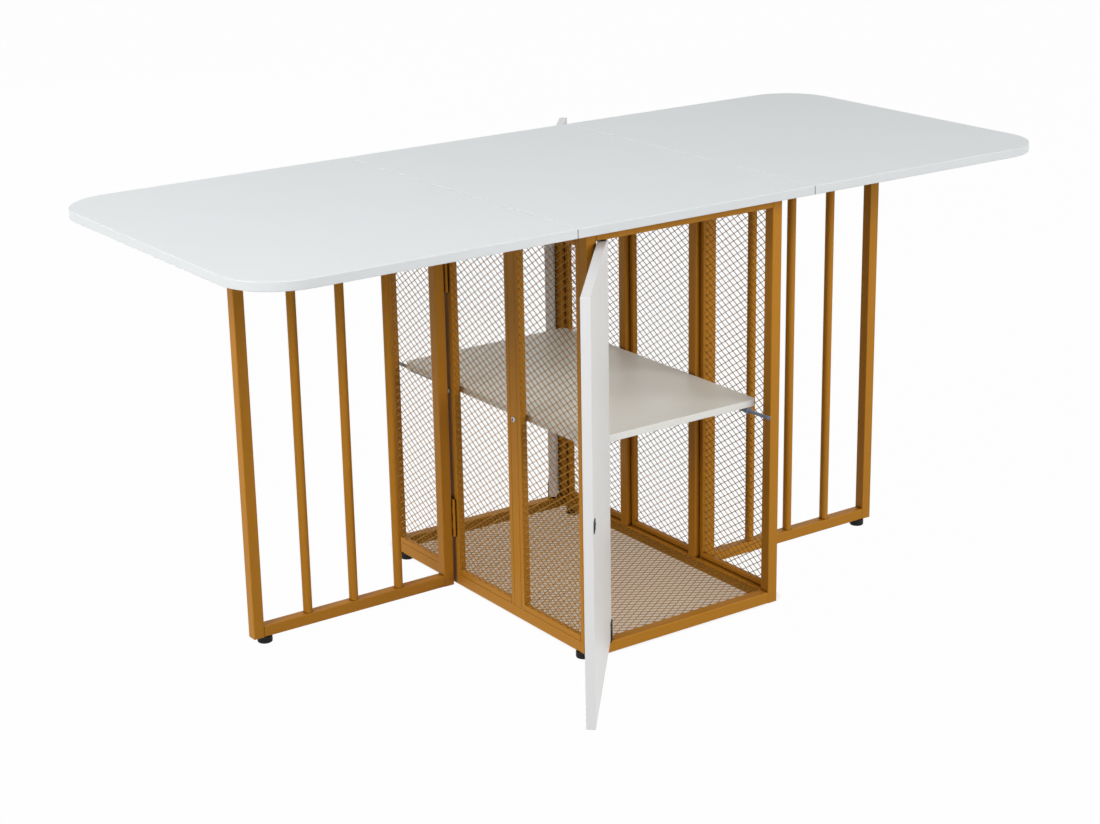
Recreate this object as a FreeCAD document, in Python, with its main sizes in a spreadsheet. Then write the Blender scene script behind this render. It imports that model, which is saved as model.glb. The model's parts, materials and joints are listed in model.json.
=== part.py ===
"""Drop-leaf dining table on an open cabinet of square steel tube.

A white board top in three panels stands on a cabinet with sides of framed expanded metal, one shelf
and a door at the front and at the rear. Two gates of tube swing out of the cabinet's sides and carry the
leaves. The table is drawn open: leaves up, gates out, both doors open.

Millimetres. The origin is on the floor below the middle of the top, +X to the right along the
table, +Y to the rear, +Z up. The table is the same after half a turn about Z, so every piece is
described once, on the left or at the front, and its twin stands turned.
"""
import FreeCAD, Part
import functools
import math
import os
import re

SIZES = (
    # The top
    ("table_length", 1600, "overall length, leaves up"),
    ("table_depth", 700, "overall depth"),
    ("table_height", 750, "floor to top face"),
    ("top_thickness", 15, "board of the top"),
    ("centre_length", 480, "centre panel along X, seam to seam"),
    ("seam_gap", 1.5, "gap between leaf and centre panel"),
    ("leaf_corner_radius", 100, "outer corners of the leaves"),
    ("board_edge_round", 1, "eased edges of the boards"),
    # The cabinet frame
    ("cabinet_width", 400, "outside, along X"),
    ("cabinet_depth", 630, "outside, along Y"),
    ("post_width", 20, "upright tube along X"),
    ("post_depth", 20, "upright tube along Y"),
    ("rail_size", 20, "square tube of the rails"),
    ("tube_wall", 1.2, "wall of every square tube"),
    ("tube_round", 1.5, "outer corners of every square tube"),
    ("foot_height", 12, "floor to frame"),
    ("foot_radius", 13, "disc of a foot"),
    ("foot_round", 2, "eased rims of a foot"),
    ("foot_inset", 36, "cabinet foot from the frame's end"),
    ("stud_radius", 4, "stud of a foot"),
    ("stud_length", 10, "stud of a foot"),
    # The mesh panels, their expanded metal drawn coarser than the real sheet of 20 by 13 diamonds
    ("panel_bar", 10, "square tube round a side sheet"),
    ("sheet_thickness", 1.5, "expanded metal"),
    ("sheet_setback", 1.5, "outer face of the frame to the side sheet"),
    ("base_sheet_drop", 2, "top of the bottom rails to the base sheet"),
    ("sheet_border", 2.5, "plain margin of a sheet"),
    ("side_diamond_long", 40, "side sheet, along Y"),
    ("side_diamond_short", 26, "side sheet, along Z"),
    ("side_strand", 3.4, "side sheet"),
    ("base_diamond_long", 45, "base sheet, along X"),
    ("base_diamond_short", 29.5, "base sheet, along Y"),
    ("base_strand", 3.8, "base sheet"),
    # The shelf and what holds it
    ("shelf_width", 357, "along X"),
    ("shelf_depth", 564, "along Y"),
    ("shelf_thickness", 12, "board of the shelf"),
    ("shelf_height", 378, "floor to the shelf's top face"),
    ("shelf_corner_radius", 12, "corners of the shelf"),
    ("bolt_radius", 3, "shelf bolt"),
    ("bolt_bite", 27, "shelf bolt inside the shelf"),
    ("bolt_head_radius", 5, "shelf bolt"),
    ("bolt_head_height", 2.5, "shelf bolt"),
    ("bolt_head_round", 1.5, "domed rim of a bolt head"),
    ("spacer_radius", 6, "washer between post and shelf"),
    # The leaf hinges
    ("leaf_hinge_spread", 225, "outer hinges from the middle, along Y"),
    ("leaf_hinge_length", 50, "along the seam"),
    ("leaf_hinge_plate", 34, "seam to the plate's far edge"),
    ("leaf_hinge_thickness", 1.5, "plates"),
    ("leaf_knuckle_radius", 2.2, "barrel"),
    ("leaf_pin_radius", 0.8, "pin"),
    ("leaf_pin_drop", 2.5, "underside of the top to the pin's axis"),
    # The gates
    ("gate_gap", 6.4, "cabinet side to the hinge stile"),
    ("gate_length", 402, "hinge stile to outer post, outside"),
    ("gate_tube", 20, "square tube of the gate"),
    ("gate_top_drop", 5.5, "underside of the top to the gate"),
    ("bar_radius", 8, "round bars"),
    ("bar_wall", 1, "round bars"),
    ("bar_pitch", 91, "round bars, axis to axis"),
    ("gate_foot_inset", 25, "gate foot from the outer end"),
    ("pad_radius", 7, "glide pad under the leaf"),
    ("pad_inset", 16, "outer post to the glide pad's axis"),
    ("pad_stud_length", 6, "glide pad's stud inside the rail"),
    ("gate_hinge_low", 104, "floor to the lower hinge"),
    ("gate_hinge_high", 552, "floor to the upper hinge"),
    ("gate_hinge_length", 70, "along the stile"),
    ("gate_hinge_plate", 22, "pin's axis to the plate's far edge"),
    ("gate_hinge_thickness", 1.5, "plates"),
    ("gate_knuckle_radius", 2.8, "barrel"),
    ("gate_pin_radius", 1.4, "pin"),
    ("gate_pin_lead", 2, "pin's axis ahead of the gate's front face"),
    # The doors
    ("door_thickness", 15, "board of the doors"),
    ("door_hinge_gap", 2.5, "post to the door's hinge edge"),
    ("door_free_gap", 3, "post to the door's free edge"),
    ("door_foot_gap", 4, "bottom rail to door"),
    ("door_head_gap", 2, "door to top rail"),
    ("door_open_angle", 130.5, "as drawn, from closed"),
    ("pivot_inset", 14, "hinge edge to the pivot's axis"),
    ("pivot_radius", 3, "pivot pins"),
    ("pivot_reach", 7, "pivot pins beyond the door's fittings"),
    ("pivot_socket_depth", 30, "upper pin inside the door"),
    ("bracket_thickness", 2, "lower pivot bracket"),
    ("bracket_setback", 2, "hinge edge to the bracket"),
    ("bracket_height", 30, "upright leg on the door's inner face"),
    ("bracket_width", 20, "upright leg on the door's inner face"),
    ("bracket_length", 26, "sole under the door"),
    ("bush_flange_radius", 6.5, "pivot bush"),
    ("bush_flange_height", 1.5, "pivot bush"),
    ("bush_sleeve_radius", 4.5, "pivot bush"),
    ("bush_sleeve_length", 6, "pivot bush"),
    # The push latches
    ("latch_inset", 19, "door-side post to the latch's axis"),
    ("latch_drop", 6, "underside of the shelf to the latch's axis"),
    ("latch_mouth", 33, "cabinet front to the latch's mouth"),
    ("latch_length", 100, "housing"),
    ("latch_radius", 5, "housing"),
    ("latch_collar_radius", 5.8, "mouth of the housing"),
    ("latch_collar_length", 9, "mouth of the housing"),
    ("latch_end_wall", 4, "closed end of the housing"),
    ("latch_plate_half", 15, "fixing plate, half its width"),
    ("latch_plate_length", 36, "fixing plate"),
    ("latch_plate_thickness", 2, "fixing plate"),
    ("plunger_radius", 3, "rod"),
    ("plunger_out", 20, "tip ahead of the cabinet's front"),
    ("plunger_length", 110, "rod, tip to end"),
    ("plunger_tip_radius", 3.4, "soft tip"),
    ("plunger_tip_length", 8, "soft tip"),
    ("plunger_tip_round", 1.2, "rim of the soft tip"),
    ("strike_width", 22, "plate on the door"),
    ("strike_height", 17, "plate on the door"),
    ("strike_thickness", 1.5, "plate on the door"),
    # Screws of the centre panel
    ("screw_radius", 2, "shank"),
    ("screw_head_radius", 4, "pan head"),
    ("screw_head_height", 2.4, "pan head"),
    ("screw_bite", 11, "screw inside the panel"),
    ("screw_setback", 15, "outer face of the frame to the screws"),
    ("screw_spread", 200, "outer screws from the middle, along Y"),
    # Clearances
    ("fit_gap", 0.1, "pins and screws in their holes, on the radius"),
    ("running_gap", 0.3, "faces that slide past each other"),
    ("plunger_gap", 0.2, "plunger in its housing, on the radius"),
    ("knuckle_gap", 0.4, "between knuckles along a pin"),
    ("overrun", 5, "cuts beyond the faces that they open"),
)
KNUCKLES = 5
FIXED_KNUCKLES = range(0, KNUCKLES, 2)
MOVING_KNUCKLES = range(1, KNUCKLES, 2)
GATE_BARS = 3
SIDE_BAYS = 3
HALF_TURN = 180
SMALLEST_HOLE_SHARE = 0.12
SAME_PLACE = 1e-6

# Places that several pieces share, in the sheet's own words
LEFT = "(-cabinet_width / 2)"
FRONT = "(-cabinet_depth / 2)"
BAY = "(cabinet_width / 2 - post_width)"
SIDE_POST = f"((cabinet_depth - post_depth) / {2 * SIDE_BAYS})"
UNDER_TOP = "(table_height - top_thickness)"
SILL = "(foot_height + rail_size)"
HEAD = f"({UNDER_TOP} - rail_size)"
SEAM = "(centre_length / 2)"
UNDER_SHELF = "(shelf_height - shelf_thickness)"
BOLT_HEIGHT = "(shelf_height - shelf_thickness / 2)"
SCREW_X = f"({LEFT} + screw_setback)"
GATE_TOP = f"({UNDER_TOP} - gate_top_drop)"
STILE = f"({LEFT} - gate_gap)"
GATE_END = f"({STILE} - gate_length)"
GATE_FRONT = f"({SIDE_POST} - gate_tube / 2)"
GATE_PIN_X = f"({LEFT} - gate_gap / 2)"
GATE_PIN_Y = f"({GATE_FRONT} - gate_pin_lead)"
LEAF_PIN_Z = f"({UNDER_TOP} - leaf_pin_drop)"
PIVOT_X = f"(-{BAY} + door_hinge_gap + pivot_inset)"
PIVOT_Y = f"({FRONT} + door_thickness / 2)"
DOOR_FOOT = f"({SILL} + door_foot_gap)"
DOOR_HEAD = f"({HEAD} - door_head_gap)"
LATCH_X = f"({BAY} - latch_inset)"
LATCH_Y = f"({FRONT} + latch_mouth)"
LATCH_Z = f"({UNDER_SHELF} - latch_drop)"
# The bays of a side between its posts, from front to rear
BAYS = (
    (f"({FRONT} + post_depth)", f"(-{SIDE_POST} - post_depth / 2)"),
    (f"(-{SIDE_POST} + post_depth / 2)", f"({SIDE_POST} - post_depth / 2)"),
    (f"({SIDE_POST} + post_depth / 2)", f"(-{FRONT} - post_depth)"),
)

ALIAS = re.compile(r"[a-z]\w*")
UPRIGHT = ("0; 0; 1", "0")
TURNED = {"x": ("0; 1; 0", "90"), "y": ("1; 0; 0", "-90"), "z": UPRIGHT}
TWINS = (("front", "left", "right", 0), ("rear", "right", "left", HALF_TURN))

doc = FreeCAD.newDocument("drop_leaf_table")
sheet = doc.addObject("Spreadsheet::Sheet", "Sizes")
for row, (alias, value, note) in enumerate(SIZES, start=1):
    sheet.set(f"A{row}", note)
    sheet.set(f"B{row}", str(value))
    sheet.setAlias(f"B{row}", alias)
doc.recompute()

subparts = []


def named(text):
    """Puts the sheet's name before every alias of an expression."""
    return ALIAS.sub(lambda word: f"Sizes.{word.group()}", text)


def value_of(text):
    """The number that an expression of the sheet's aliases gives."""
    return sheet.evalExpression(named(text))


def bind(thing, name, text):
    thing.setExpression(name, named(text))


def stand(thing, x="0", y="0", z="0", turned=UPRIGHT):
    """Places a body or a feature at x, y, z, turned about an axis."""
    base = "; ".join(named(text) for text in (x, y, z))
    axis, angle = turned
    thing.setExpression(
        "Placement",
        f"create(<<placement>>; create(<<vector>>; {base}); "
        f"create(<<rotation>>; create(<<vector>>; {axis}); {named(angle)}))",
    )


def new_body(label, turn=0, kept=True):
    """An empty body, turned about the table's middle if it is a twin."""
    body = doc.addObject("PartDesign::Body", label)
    body.Label = label
    stand(body, turned=("0; 0; 1", str(turn)))
    if kept:
        subparts.append(body)
    return body


def block(body, x, y, z, cut=False):
    """Adds or cuts a box between two faces on each axis."""
    kind = "PartDesign::SubtractiveBox" if cut else "PartDesign::AdditiveBox"
    feature = body.newObject(kind, f"{body.Name}_block")
    for size, (low, high) in zip(("Length", "Width", "Height"), (x, y, z)):
        bind(feature, size, f"{high} - ({low})")
    stand(feature, x[0], y[0], z[0])
    return feature


def rod(body, axis, centre, span, radius, cut=False):
    """Adds or cuts a round bar along one axis, centred on the other two."""
    kind = "PartDesign::SubtractiveCylinder" if cut else "PartDesign::AdditiveCylinder"
    feature = body.newObject(kind, f"{body.Name}_rod")
    bind(feature, "Radius", radius)
    bind(feature, "Height", f"{span[1]} - ({span[0]})")
    place = dict(zip([name for name in "xyz" if name != axis], centre))
    place[axis] = span[0]
    stand(feature, place["x"], place["y"], place["z"], TURNED[axis])
    return feature


def ease(body, radius, chosen):
    """Rounds the edges of the body's last feature that a test picks."""
    base = body.Tip
    base.recompute()
    edges = [f"Edge{i}" for i, edge in enumerate(base.Shape.Edges, start=1) if chosen(edge)]
    fillet = body.newObject("PartDesign::Fillet", f"{body.Name}_ease")
    fillet.Base = (base, edges)
    bind(fillet, "Radius", radius)
    return fillet


def runs_along(axis):
    """A test for straight edges along one axis."""
    def test(edge):
        ends = [vertex.Point for vertex in edge.Vertexes]
        if len(ends) < 2 or edge.Curve.TypeId != "Part::GeomLine":
            return False
        step = ends[1] - ends[0]
        return all(abs(getattr(step, name)) < SAME_PLACE for name in "xyz" if name != axis)
    return test


def lies_flat(edge):
    """A test for edges of level faces."""
    return edge.BoundBox.ZLength < SAME_PLACE


def group(label, members):
    """Alike pieces under one name, each still a solid of its own."""
    compound = doc.addObject("Part::Compound", label)
    compound.Label = label
    compound.Links = members
    subparts.append(compound)


def inner(span):
    """The span of a tube's bore between its walls."""
    return f"{span[0]} + tube_wall", f"{span[1]} - tube_wall"


def beyond(span):
    """A span that a cut runs past at both ends."""
    return f"{span[0]} - overrun", f"{span[1]} + overrun"


def tube(label, axis, x, y, z, turn=0, kept=True):
    """Square tube with eased corners, open along one axis."""
    body = new_body(label, turn, kept)
    block(body, x, y, z)
    ease(body, "tube_round", runs_along(axis))
    bore = [beyond(span) if name == axis else inner(span) for name, span in zip("xyz", (x, y, z))]
    block(body, *bore, cut=True)
    return body


def board(label, x, y, z, turn=0):
    """Plain board before its corners and edges are eased."""
    body = new_body(label, turn)
    block(body, x, y, z)
    return body


def diamond(centre_x, centre_y, half_x, half_y):
    return [
        (centre_x + half_x, centre_y),
        (centre_x, centre_y + half_y),
        (centre_x - half_x, centre_y),
        (centre_x, centre_y - half_y),
    ]


def trimmed(points, axis, limit, sign):
    """The part of a convex outline on one side of a line across an axis."""
    kept = []
    for start, end in zip(points, points[1:] + points[:1]):
        start_in = sign * (limit - start[axis])
        end_in = sign * (limit - end[axis])
        if start_in >= 0:
            kept.append(start)
        if start_in * end_in < 0:
            share = start_in / (start_in - end_in)
            kept.append(tuple(a + share * (b - a) for a, b in zip(start, end)))
    return kept


def outline_area(points):
    turns = zip(points, points[1:] + points[:1])
    return abs(sum(a[0] * b[1] - b[0] * a[1] for a, b in turns)) / 2


def wire(points):
    return Part.makePolygon([FreeCAD.Vector(x, y, 0) for x, y in points + points[:1]])


@functools.cache
def expanded_sheet(width, height, pitch_x, pitch_y, strand):
    """Sheet of diamond holes between strands, flat on XY with a corner at the origin."""
    border = sheet.sheet_border
    half_x = pitch_x / 2
    half_y = pitch_y / 2
    inset = 1 - strand / 2 * math.hypot(half_x, half_y) / (half_x * half_y)
    smallest = SMALLEST_HOLE_SHARE * 2 * half_x * half_y
    columns = math.ceil(width / 2 / half_x)
    rows = math.ceil(height / 2 / half_y)
    holes = []
    for column in range(-columns, columns + 1):
        for row in range(-rows, rows + 1):
            if (column + row) % 2:
                continue
            centre = (width / 2 + column * half_x, height / 2 + row * half_y)
            hole = diamond(*centre, inset * half_x, inset * half_y)
            for axis, size in ((0, width), (1, height)):
                hole = trimmed(hole, axis, border, -1)
                hole = trimmed(hole, axis, size - border, 1)
            if len(hole) > 2 and outline_area(hole) > smallest:
                holes.append(wire(hole))
    rim = wire([(0, 0), (width, 0), (width, height), (0, height)])
    face = Part.Face(rim)
    face.cutHoles(holes)
    face.validate()
    return face.extrude(FreeCAD.Vector(0, 0, sheet.sheet_thickness)), len(holes)


def net(label, shape, place):
    feature = doc.addObject("Part::Feature", label)
    feature.Label = label
    feature.Shape = shape
    feature.Placement = place
    subparts.append(feature)


def hinge_half(name, run, pin, plate, tongue, span, owned, knuckle_radius, bore_radius, turn=0):
    """Plate and knuckles of one half of a butt hinge whose pin runs along an axis."""
    body = new_body(name, turn, kept=False)
    start, length = span
    across = [axis for axis in "xyz" if axis != run]

    def spans(sides, along):
        return [along if axis == run else sides[across.index(axis)] for axis in "xyz"]

    block(body, *spans(plate, (start, f"{start} + {length}")))
    pitch = f"{length} / {KNUCKLES}"
    for knuckle in owned:
        low = f"{start} + {knuckle} * {pitch} + knuckle_gap / 2"
        high = f"{start} + {knuckle + 1} * {pitch} - knuckle_gap / 2"
        block(body, *spans(tongue, (low, high)))
        rod(body, run, pin, (low, high), knuckle_radius)
    rod(body, run, pin, beyond((start, f"{start} + {length}")), bore_radius, cut=True)
    return body


def foot(name, x, y, turn):
    """Black disc with a stud that screws into the tube above it."""
    body = new_body(name, turn, kept=False)
    rod(body, "z", (x, y), ("0", "foot_height"), "foot_radius")
    ease(body, "foot_round", lies_flat)
    rod(body, "z", (x, y), ("foot_height - foot_round", "foot_height + stud_length"), "stud_radius")
    return body


def stud_hole(body, x, y):
    """A hole in a bottom rail's lower wall for a foot's stud."""
    wall = ("foot_height", "foot_height + tube_wall")
    rod(body, "z", (x, y), beyond(wall), "stud_radius + fit_gap", cut=True)


def cabinet_posts(front, side, far_side, turn):
    """Two corner posts of full height, and two side posts between the rails."""
    low_y = (FRONT, f"{FRONT} + post_depth")
    full = ("foot_height", UNDER_TOP)
    near_x = (LEFT, f"{LEFT} + post_width")
    tube(f"{front}_{side}_post", "z", near_x, low_y, full, turn)
    tube(f"{front}_{far_side}_post", "z", (BAY, f"{BAY} + post_width"), low_y, full, turn)
    for name, place in (("mid_post", f"-{SIDE_POST}"), ("hinge_post", SIDE_POST)):
        y = (f"{place} - post_depth / 2", f"{place} + post_depth / 2")
        post = tube(f"{side}_{name}", "z", near_x, y, (SILL, HEAD), turn)
        hole = beyond(near_x)
        rod(post, "x", (place, BOLT_HEIGHT), hole, "bolt_radius + fit_gap", cut=True)


def cabinet_rails(front, side, turn):
    """Bottom and top rails between the corner posts, with the holes that they carry."""
    bottom = ("foot_height", SILL)
    top = (HEAD, UNDER_TOP)
    front_x = (f"-{BAY}", BAY)
    front_y = (FRONT, f"{FRONT} + rail_size")
    side_x = (LEFT, f"{LEFT} + rail_size")
    side_y = (f"{FRONT} + post_depth", f"-{FRONT} - post_depth")
    sleeve = "bush_sleeve_radius + fit_gap"
    lower = tube(f"{front}_bottom_rail", "x", front_x, front_y, bottom, turn)
    rod(lower, "z", (PIVOT_X, PIVOT_Y), (f"{SILL} - overrun", f"{SILL} + overrun"), sleeve, cut=True)
    upper = tube(f"{front}_top_rail", "x", front_x, front_y, top, turn)
    rod(upper, "z", (PIVOT_X, PIVOT_Y), (f"{HEAD} - overrun", f"{HEAD} + overrun"), sleeve, cut=True)
    lower = tube(f"{side}_bottom_rail", "y", side_x, side_y, bottom, turn)
    for place in (f"{FRONT} + foot_inset", f"-{FRONT} - foot_inset"):
        stud_hole(lower, f"{LEFT} + rail_size / 2", place)
    upper = tube(f"{side}_top_rail", "y", side_x, side_y, top, turn)
    for place in ("-screw_spread", "0", "screw_spread"):
        rod(upper, "z", (SCREW_X, place), beyond(top), "screw_radius + fit_gap", cut=True)


def panel_frames():
    """Frames of thin square tube between the posts, flush with their outer faces."""
    x = (LEFT, f"{LEFT} + panel_bar")
    levels = (("low", (SILL, f"{SILL} + panel_bar")), ("high", (f"{HEAD} - panel_bar", HEAD)))
    for _, side, _, turn in TWINS:
        bars = []
        for count, (near, far) in enumerate(BAYS, start=1):
            name = f"{side}_panel_{count}"
            between = (f"({near} + panel_bar)", f"({far} - panel_bar)")
            for place, y in (("near", (near, between[0])), ("far", (between[1], far))):
                bars.append(tube(f"{name}_{place}_bar", "z", x, y, (SILL, HEAD), turn, kept=False))
            for place, z in levels:
                bars.append(tube(f"{name}_{place}_bar", "y", x, between, z, turn, kept=False))
        group(f"{side}_panel_frames", bars)


def side_sheets():
    """Expanded sheets welded into the panel frames, three a side."""
    along = FreeCAD.Vector(0, 1, 0)
    upwards = FreeCAD.Vector(0, 0, 1)
    across = FreeCAD.Vector(1, 0, 0)
    on_edge = FreeCAD.Rotation(along, upwards, across, "ZXY")
    half_turn = FreeCAD.Placement(FreeCAD.Vector(), FreeCAD.Rotation(upwards, HALF_TURN))
    plane = value_of(f"{LEFT} + sheet_setback")
    bottom = value_of(f"{SILL} + panel_bar")
    height = value_of(f"{HEAD} - panel_bar") - bottom
    names = {"left": ("front", "middle", "rear"), "right": ("rear", "middle", "front")}
    for side, side_names in names.items():
        for name, (near, far) in zip(side_names, BAYS):
            start = value_of(f"{near} + panel_bar")
            width = value_of(f"{far} - panel_bar") - start
            shape, gaps = expanded_sheet(
                width, height, sheet.side_diamond_long, sheet.side_diamond_short, sheet.side_strand,
            )
            place = FreeCAD.Placement(FreeCAD.Vector(plane, start, bottom), on_edge)
            net(f"{side}_{name}_mesh", shape, half_turn * place if side == "right" else place)
            print(f"{side}_{name}_mesh has {gaps} gaps")


def base_sheet():
    """One expanded sheet between the bottom rails."""
    front_inside = value_of(f"{FRONT} + rail_size")
    bay_half = value_of(BAY)
    level = value_of(f"{SILL} - base_sheet_drop - sheet_thickness")
    shape, gaps = expanded_sheet(
        2 * bay_half, -2 * front_inside,
        sheet.base_diamond_long, sheet.base_diamond_short, sheet.base_strand,
    )
    corner = FreeCAD.Vector(-bay_half, front_inside, level)
    net("base_mesh", shape, FreeCAD.Placement(corner, FreeCAD.Rotation()))
    print(f"base_mesh has {gaps} gaps")


def centre_panel():
    panel = board(
        "centre_panel",
        (f"-{SEAM} + seam_gap / 2", f"{SEAM} - seam_gap / 2"),
        ("-table_depth / 2", "table_depth / 2"),
        (UNDER_TOP, "table_height"),
    )
    ease(panel, "board_edge_round", lies_flat)
    for x in (SCREW_X, f"-{SCREW_X}"):
        for y in ("-screw_spread", "0", "screw_spread"):
            span = (f"{UNDER_TOP} - overrun", f"{UNDER_TOP} + screw_bite + fit_gap")
            rod(panel, "z", (x, y), span, "screw_radius + fit_gap", cut=True)


def panel_screws():
    """Pan-head screws up through the side top rails into the centre panel."""
    screws = []
    for side, turn in (("left", 0), ("right", HALF_TURN)):
        for count, y in enumerate(("-screw_spread", "0", "screw_spread"), start=1):
            screw = new_body(f"{side}_panel_screw_{count}", turn, kept=False)
            rod(screw, "z", (SCREW_X, y), (f"{HEAD} - screw_head_height", HEAD), "screw_head_radius")
            rod(screw, "z", (SCREW_X, y), (HEAD, f"{UNDER_TOP} + screw_bite"), "screw_radius")
            screws.append(screw)
    group("panel_screws", screws)


def cabinet_feet():
    feet = []
    for _, side, _, turn in TWINS:
        for count, y in enumerate((f"{FRONT} + foot_inset", f"-{FRONT} - foot_inset"), start=1):
            feet.append(foot(f"{side}_foot_{count}", f"{LEFT} + rail_size / 2", y, turn))
    group("cabinet_feet", feet)


def shelf_and_bolts():
    """Shelf on four bolts through the side posts, with a washer at each post."""
    shelf = board(
        "shelf",
        ("-shelf_width / 2", "shelf_width / 2"),
        ("-shelf_depth / 2", "shelf_depth / 2"),
        (UNDER_SHELF, "shelf_height"),
    )
    ease(shelf, "shelf_corner_radius", runs_along("z"))
    ease(shelf, "board_edge_round", lies_flat)
    bolts = []
    spacers = []
    edge = "-shelf_width / 2"
    for _, side, _, turn in TWINS:
        for count, y in enumerate((f"-{SIDE_POST}", SIDE_POST), start=1):
            centre = (y, BOLT_HEIGHT)
            tip = f"{edge} + bolt_bite"
            bolt = new_body(f"{side}_shelf_bolt_{count}", turn, kept=False)
            rod(bolt, "x", centre, (f"{LEFT} - bolt_head_height", LEFT), "bolt_head_radius")
            ease(bolt, "bolt_head_round", outermost)
            rod(bolt, "x", centre, (LEFT, tip), "bolt_radius")
            bolts.append(bolt)
            spacer = new_body(f"{side}_shelf_spacer_{count}", turn, kept=False)
            rod(spacer, "x", centre, (f"-{BAY}", edge), "spacer_radius")
            rod(spacer, "x", centre, beyond((f"-{BAY}", edge)), "bolt_radius + fit_gap", cut=True)
            spacers.append(spacer)
    for y in (f"-{SIDE_POST}", SIDE_POST):
        for span in ((f"{edge} - overrun", f"{edge} + bolt_bite + fit_gap"),
                     (f"-({edge}) - bolt_bite - fit_gap", f"-({edge}) + overrun")):
            rod(shelf, "x", (y, BOLT_HEIGHT), span, "bolt_radius + fit_gap", cut=True)
    group("shelf_bolts", bolts)
    group("shelf_spacers", spacers)


def outermost(edge):
    """A test for the rim of a bolt head on its outer side."""
    bolt_head = sheet.cabinet_width / 2 + sheet.bolt_head_height
    return abs(edge.BoundBox.XMax + bolt_head) < SAME_PLACE


def leaf_panel(side, turn):
    """One leaf with its two round outer corners."""
    low = "-table_length / 2"
    panel = board(
        f"{side}_leaf_panel",
        (low, f"-{SEAM} - seam_gap / 2"),
        ("-table_depth / 2", "table_depth / 2"),
        (UNDER_TOP, "table_height"),
        turn,
    )
    upright = runs_along("z")
    outer_end = -sheet.table_length / 2
    ease(panel, "leaf_corner_radius",
         lambda edge: upright(edge) and abs(edge.BoundBox.XMax - outer_end) < SAME_PLACE)
    ease(panel, "board_edge_round", lies_flat)


def leaf_hinges():
    """Three butt hinges under each seam; returns their pins."""
    fixed = []
    pins = []
    plate_z = (f"{UNDER_TOP} - leaf_hinge_thickness", UNDER_TOP)
    reach = "(leaf_knuckle_radius + running_gap)"
    bore = "leaf_pin_radius + fit_gap"
    for _, side, _, turn in TWINS:
        moving = []
        for count, y in enumerate(("-leaf_hinge_spread", "0", "leaf_hinge_spread"), start=1):
            start = f"({y} - leaf_hinge_length / 2)"
            pin = (f"-{SEAM}", LEAF_PIN_Z)
            span = (start, "leaf_hinge_length")
            inward = ((f"-{SEAM} + {reach}", f"-{SEAM} + leaf_hinge_plate"), plate_z)
            inward_tongue = ((f"-{SEAM}", f"-{SEAM} + {reach}"), plate_z)
            outward = ((f"-{SEAM} - leaf_hinge_plate", f"-{SEAM} - {reach}"), plate_z)
            outward_tongue = ((f"-{SEAM} - {reach}", f"-{SEAM}"), plate_z)
            fixed.append(hinge_half(
                f"{side}_leaf_hinge_fixed_{count}", "y", pin, inward, inward_tongue,
                span, FIXED_KNUCKLES, "leaf_knuckle_radius", bore, turn,
            ))
            moving.append(hinge_half(
                f"{side}_leaf_hinge_moving_{count}", "y", pin, outward, outward_tongue,
                span, MOVING_KNUCKLES, "leaf_knuckle_radius", bore, turn,
            ))
            axle = new_body(f"{side}_leaf_hinge_pin_{count}", turn, kept=False)
            rod(axle, "y", pin, (start, f"{start} + leaf_hinge_length"), "leaf_pin_radius")
            pins.append(axle)
        group(f"{side}_leaf_hinge_plates", moving)
    group("leaf_hinge_plates", fixed)
    return pins


def gate_frame(side, turn):
    """Gate of square tube with three round bars, a foot and a glide pad."""
    name = f"{side}_gate"
    y = (GATE_FRONT, f"{GATE_FRONT} + gate_tube")
    full = ("foot_height", GATE_TOP)
    low_rail = ("foot_height", "foot_height + gate_tube")
    high_rail = (f"{GATE_TOP} - gate_tube", GATE_TOP)
    clear = (f"({GATE_END} + gate_tube)", f"({STILE} - gate_tube)")
    tube(f"{name}_outer_post", "z", (GATE_END, clear[0]), y, full, turn)
    tube(f"{name}_hinge_stile", "z", (clear[1], STILE), y, full, turn)
    lower = tube(f"{name}_bottom_rail", "x", clear, y, low_rail, turn)
    upper = tube(f"{name}_top_rail", "x", clear, y, high_rail, turn)
    foot_x = f"{GATE_END} + gate_foot_inset"
    stud_hole(lower, foot_x, SIDE_POST)

    bars = []
    for count in range(1, GATE_BARS + 1):
        x = f"{STILE} - gate_length / 2 + ({count} - {(GATE_BARS + 1) / 2}) * bar_pitch"
        span = (low_rail[1], high_rail[0])
        bar = new_body(f"{name}_bar_{count}", turn, kept=False)
        rod(bar, "z", (x, SIDE_POST), span, "bar_radius")
        rod(bar, "z", (x, SIDE_POST), beyond(span), "bar_radius - bar_wall", cut=True)
        bars.append(bar)
    group(f"{name}_bars", bars)

    pad_x = f"{GATE_END} + gate_tube + pad_inset"
    pad_centre = (pad_x, SIDE_POST)
    pad = new_body(f"{name}_pad", turn, kept=False)
    rod(pad, "z", pad_centre, (GATE_TOP, f"{UNDER_TOP} - running_gap"), "pad_radius")
    rod(pad, "z", pad_centre, (f"{GATE_TOP} - pad_stud_length", GATE_TOP), "stud_radius")
    wall = (f"{GATE_TOP} - tube_wall", GATE_TOP)
    rod(upper, "z", pad_centre, beyond(wall), "stud_radius + fit_gap", cut=True)
    group(f"{name}_pads", [foot(f"{name}_foot", foot_x, SIDE_POST, turn), pad])


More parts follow.
